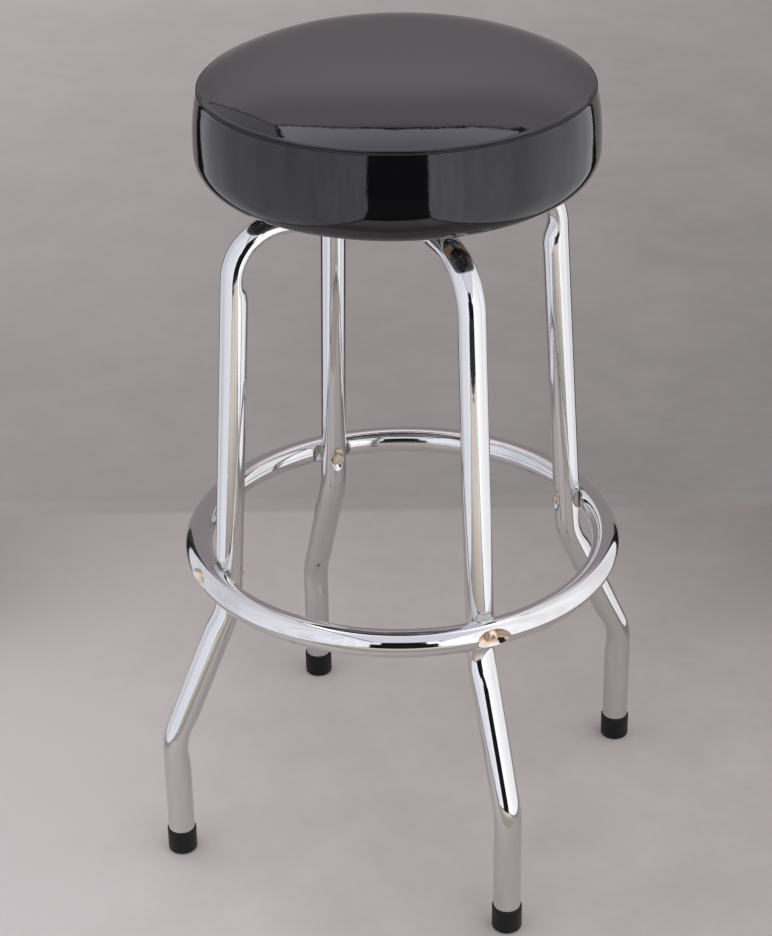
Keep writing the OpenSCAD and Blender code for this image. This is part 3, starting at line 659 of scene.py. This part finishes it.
def cushion_surface():
    """The outline turned round the axis. The stitches pull a groove into the cover along the seam, with a
    small roll of vinyl on each side: seam_forms gives each one's place from the seam, width and height."""
    profile = cushion_profile()
    grid = lathe(profile, cushion_sides)
    r = np.hypot(grid[..., 0], grid[..., 1])
    tangent = np.gradient(profile, axis=0)
    normal = np.stack([-tangent[:, 1], tangent[:, 0]], axis=-1)
    normal /= np.linalg.norm(normal, axis=1)[:, None]
    length = np.cumsum(np.r_[0, np.linalg.norm(np.diff(profile, axis=0), axis=1)])
    from_seam = length - length[seam_row]
    at_corner = np.exp(-(from_seam / corner_round) ** 2)[:, None]
    across_seam = (normal[seam_row - 3] + normal[seam_row + 3]) / 2
    normal = normal * (1 - at_corner) + across_seam * at_corner
    around = np.linspace(0, 2 * math.pi, cushion_sides, endpoint=False)
    wobble = sum(seam_wander * np.sin(turns * around + turns ** 2) for turns in (5, 11, 19, 37))
    gap = from_seam[:, None] - wobble
    raised = sum(high * np.exp(-((gap - place) / width) ** 2) for place, width, high in seam_forms)
    outward = grid[..., :2] / np.maximum(r, 1e-6)[..., None]
    on_show = (length < length[seam_row + band_rows + turn_rows // 2])[:, None]
    shift = np.where(on_show, raised, 0)
    grid[..., 0] += shift * normal[:, :1] * outward[..., 0]
    grid[..., 1] += shift * normal[:, :1] * outward[..., 1]
    grid[..., 2] += shift * normal[:, 1:]
    return grid


def glossy_vinyl():
    """Black vinyl with a wet gloss: soft unevenness over the foam, fine orange peel, a few pinholes."""
    finish = Finish("glossy_vinyl")
    soft = finish.noise(13, 2, 0.5)
    puckers = finish.noise(60, 2, 0.5)
    peel = finish.noise(330, 2, 0.6)
    pinholes = finish.noise(150, 1).between(0.76, 0.80)
    smear = finish.noise(22, 4).between(0.45, 0.7)
    return finish.surface(
        Base_Color=(0.0045, 0.0040, 0.0044, 1), Roughness=0.045 + smear * 0.03, IOR=1.53,
        Specular_Tint=(0.96, 0.95, 1.0, 1),
        Normal=finish.bump(soft * 0.7 + puckers * 0.25 + peel * 0.08 - pinholes * 0.06, 0.0006, 0.5))


vinyl = glossy_vinyl()
cushion = grid_object("seat_cushion", cushion_surface(), loop=False)
cushion.data.materials.append(vinyl)
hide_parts("seat_cover_top", "seat_cover_band", "seat_foam")
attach(cushion, "seat")

stitch_pitch = 2.5
stitch_out, stitch_drop = 0.8, 1.6
stitch_sides = 10
stitch_profile = [
    (0, -0.85), (0.3, -0.78), (0.48, -0.6), (0.55, -0.35), (0.55, 0.35), (0.48, 0.6), (0.3, 0.78), (0, 0.85)]
stitch = grid_object("stitch", lathe(stitch_profile, stitch_sides)[..., [0, 2, 1]], loop=False)
thread = Finish("seam_thread")
thread = thread.surface(
    Base_Color=thread.blend(thread.noise(900, 2), (0.006, 0.006, 0.006, 1), (0.016, 0.016, 0.017, 1)),
    Roughness=0.7, Specular_IOR_Level=0.08)
stitch_count = round(2 * math.pi * seam_out / stitch_pitch)
stitches = ring_of(
    "seam_stitches", stitch, stitch_count, (seam_out + stitch_out) / 1000, (seam_height - stitch_drop) / 1000,
    0.0, thread)
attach(stitches, "seat")


# Studio
# A light tent: a beige floor with a grey sweep behind the stool, a white wall on each side, a bright roof,
# a paler wall behind, and a dark slot in front where the camera stands.
def emitter(name, colour, strength, along=(0, 0, 1), fade=(0, 1), least=1.0, folds=0.0):
    """A glowing surface. It is dimmer at one end: least is the share of its strength that is left there.
    Folds in hanging cloth make it brighter and dimmer from side to side."""
    finish = Finish(name)
    inputs = {0: finish.place(), 1: along}
    at = finish.node("ShaderNodeVectorMath", {"operation": "DOT_PRODUCT"}, inputs, output=1)
    level = (at.between(*fade) * (1 - least) + least) * strength
    if folds:
        inputs = {"Vector": finish.place(), "Scale": (1.0, 1.0, 0.25)}
        place = finish.node("ShaderNodeMapping", inputs=inputs)
        level = level * (1 + (finish.noise(7, 3, 0.5, place) - 0.5) * folds)
    glow = finish.node("ShaderNodeEmission", inputs={"Color": colour, "Strength": level})
    finish.tree.links.new(glow.socket, finish.tree.nodes["Material Output"].inputs["Surface"])
    return finish.material


towards = Vector((math.sin(side), -math.cos(side), 0))
right = Vector((math.cos(side), math.sin(side), 0))


def card(name, corners, material, mirrored_only=False):
    """A flat card of the studio, which the camera doesn't see. Its corners are (towards the camera, to the
    camera's right, up) in metres. One that is mirrored only lights nothing matt, and shows only in the
    chrome and the vinyl."""
    mesh = bpy.data.meshes.new(name)
    points = [towards * f + right * r + Vector((0, 0, up)) for f, r, up in corners]
    mesh.from_pydata([tuple(p) for p in points], [], [list(range(len(points)))])
    made = bpy.data.objects.new(name, mesh)
    bpy.context.scene.collection.objects.link(made)
    made.data.materials.append(material)
    made.visible_camera = False
    made.visible_diffuse = not mirrored_only
    made.visible_shadow = False
    return made


def floor_paint():
    """Beige with mottled stains near the stool, paler on its left and darker on its right as painted light
    and shade. Behind it is the grey sweep, painted lighter to the left and further back. All round is pale
    paper. Both the sweep and the paper are near black to the lamps and glow for the camera as painted light.
    The near floor also glows a little for the camera, more towards the back."""
    finish = Finish("floor_paint")
    x = finish.node("ShaderNodeSeparateXYZ", inputs={0: finish.place()}, output="X")
    y = finish.node("ShaderNodeSeparateXYZ", inputs={0: finish.place()}, output="Y")
    behind = y * math.cos(side) - x * math.sin(side)
    to_right = x * math.cos(side) + y * math.sin(side)
    mottle = (finish.noise(2.5, 6, 0.6) - 0.5) * 0.5
    scuffs = (finish.noise(9, 8, 0.75) - 0.5) * 0.8
    # Painted light and shade: darker to the right and a little lighter further back, with stains on top.
    shade = (to_right * 1.5 - behind * 0.1 + 0.45 + mottle + scuffs).clamped()
    near = finish.blend(shade, (0.66, 0.612, 0.572, 1), (0.43, 0.393, 0.363, 1))
    # Painted light and shade on the sweep: lighter to the left and further back, with stains on top.
    shade = (behind * 0.26 - to_right * 0.39 + 0.04 - mottle - scuffs * 0.4).clamped()
    far = finish.blend(shade, (0.220, 0.201, 0.200, 1), (0.44, 0.400, 0.405, 1))
    seen = finish.node("ShaderNodeLightPath", output="Is Camera Ray")
    sweep = behind.between(0.56, 0.575)
    # Painted light: a glow that only the camera sees. It is stronger towards the back of the near floor and
    # even on the pale paper all round.
    camera_only_glow = finish.blend(behind.between(-0.40, 0.45) * 0.11, (0, 0, 0, 1), near)
    distance = finish.node("ShaderNodeVectorMath", {"operation": "LENGTH"}, {0: finish.place()}, output=1)
    beyond = distance.between(0.75, 1.9)
    camera_only_glow = finish.blend(beyond, camera_only_glow, (0.42, 0.40, 0.40, 1))
    unlit = (0.01, 0.01, 0.01, 1)
    lit = finish.blend(sweep, finish.blend(beyond, near, unlit), unlit)
    glow = finish.blend(seen, (0, 0, 0, 1), finish.blend(sweep, camera_only_glow, far))
    return finish.surface(Base_Color=lit, Roughness=0.6, Emission_Strength=1.0, Emission_Color=glow)


floor = card("floor", [(-8, -8, 0), (-8, 8, 0), (8, 8, 0), (8, -8, 0)], floor_paint())
floor.visible_camera = True
black_cloth = Finish("black_cloth").surface(Base_Color=(0.01, 0.01, 0.01, 1), Roughness=0.9)

# Each wall's hand, colour and strength, and its back edge as (towards the camera, up). Black cloth hems it,
# and a strip of white stands further forward on each side of the camera.
walls = {
    "left": (-1, (0.90, 0.91, 1.0, 1), 1.25, [(-0.30, 0.03), (-0.30, 0.5), (-0.52, 1.0), (-0.36, 1.5)]),
    "right": (1, (0.97, 0.96, 1.0, 1), 1.5, [(-0.30, 0.03), (-0.31, 0.5), (-0.32, 1.0), (-0.28, 1.15)])}
for label, (hand, colour, strength, back) in walls.items():
    white = emitter(
        "white_wall_" + label, colour, strength, along=towards, fade=(-0.6, 1.2), least=0.65, folds=0.7)
    top = back[-1][1]
    outline = [(1.9, top), (1.9, 0.03)] + back
    edge = [(1.96, top + 0.03), (1.96, 0)] + [(f - 0.02 - 0.06 * (up < 1), up + 0.03) for f, up in back]
    slot = [(2.5, 0.80, 1.08), (2.5, 0.50, 1.08), (2.5, 0.50, 2.0), (2.5, 0.80, 2.0)]
    card("wall_" + label, [(f, (0.498 + 0.02 * f) * hand, up) for f, up in outline], white)
    card("wall_edge_" + label, [(f, (0.508 + 0.02 * f) * hand, up) for f, up in edge], black_cloth, True)
    card("front_" + label, [(f, r * hand, up) for f, r, up in slot], white)
card("camera_slot", [(2.6, -0.9, 0), (2.6, 0.9, 0), (2.6, 0.9, 2.6), (2.6, -0.9, 2.6)], black_cloth, True)

roof_height = 1.55
roof_edge = [
    (-0.38, -0.49), (-0.30, -0.35), (-0.22, -0.15), (-0.19, 0), (-0.21, 0.15), (-0.25, 0.35), (-0.31, 0.85)]
roof_front = [(1.9, 0.85), (1.9, -0.49)]
roof_glow = emitter("roof", (0.905, 0.88, 1.0, 1), 2.4, along=-towards, fade=(-0.4, 0.3), least=0.4)
card("roof", [(f, r, roof_height) for f, r in roof_edge + roof_front], roof_glow)
frame_edge = [(f - 0.03, r * 1.05) for f, r in roof_edge] + [(1.96, 0.88), (1.96, -0.52)]
card("roof_frame", [(f, r, roof_height + 0.01) for f, r in frame_edge], black_cloth, True)

# The wall behind, in three heights. Each is a list of (to the right, up) with its strength and its fade.
backdrop_pink = (1.0, 0.89, 0.94, 1)
backdrop_at = -0.6
low_edge = [
    (-0.55, 0), (0.55, 0), (0.56, 0.38), (0.72, 0.5), (0.85, 1.0), (0.95, 1.5), (-0.67, 1.5), (-0.57, 1.0)]
backdrops = {
    "backdrop": (1.0, (0.75, 1.3), 0.31, low_edge),
    "upper_backdrop": (1.25, (1.5, 1.9), 0.82, [(-0.67, 1.5), (0.95, 1.5), (0.95, 2.0), (-0.78, 2.0)]),
    "top_backdrop": (1.25, (2.7, 2.0), 0.45, [(-0.78, 2.0), (0.78, 2.0), (0.78, 2.9), (-0.78, 2.9)])}
for name, (strength, fade, least, outline) in backdrops.items():
    glow = emitter(name, backdrop_pink, strength, fade=fade, least=least)
    card(name, [(backdrop_at, r, up) for r, up in outline], glow)

# Light that only the floor and the matt parts get, from behind and above.
fill = card("fill", [(-2.3, -1.8, 2.4), (-0.2, -1.8, 2.4), (-0.2, 1.8, 2.4), (-2.3, 1.8, 2.4)],
            emitter("fill", (1.0, 0.97, 0.95, 1), 0.33))
fill.visible_glossy = False

# What only the chrome and the vinyl see of the floor in front of the picture: brighter and beige, whiter by
# the right wall, and dark where the paper ends.
right_glimpse = [(0.45, 0.34), (0.45, 0.49), (1.7, 0.52), (1.7, 0.30), (0.8, 0.27)]
glimpses = {
    "front": ((1.0, 0.90, 0.81, 1), 0.84, [(0.45, -0.48), (0.45, 0.36), (1.6, 0.36), (1.6, -0.5)]),
    "right": ((1.0, 0.97, 0.93, 1), 0.95, right_glimpse),
    "far": ((1.0, 1.0, 1.0, 1), 0.03, [(1.50, -0.48), (1.62, 0.48), (2.6, 0.9), (2.6, -0.9)])}
for rise, (label, (colour, strength, corners)) in enumerate(glimpses.items()):
    glow = emitter("floor_" + label, colour, strength, along=towards, fade=(0.6, 1.2), least=0.5)
    card("floor_" + label, [(f, r, 0.002 + 0.001 * rise) for f, r in corners], glow, True)

world = bpy.data.worlds.new("studio")
bpy.context.scene.world = world
world.use_nodes = True
seen = world.node_tree.nodes.new("ShaderNodeLightPath").outputs["Is Camera Ray"]
sky = world.node_tree.nodes.new("ShaderNodeMix")
sky.data_type = "RGBA"
sky.inputs[6].default_value = (0.05, 0.05, 0.052, 1)
sky.inputs[7].default_value = (0.42, 0.40, 0.40, 1)
world.node_tree.links.new(seen, sky.inputs["Factor"])
world.node_tree.links.new(sky.outputs[2], world.node_tree.nodes["Background"].inputs["Color"])
bpy.context.scene.view_settings.view_transform = "Standard"
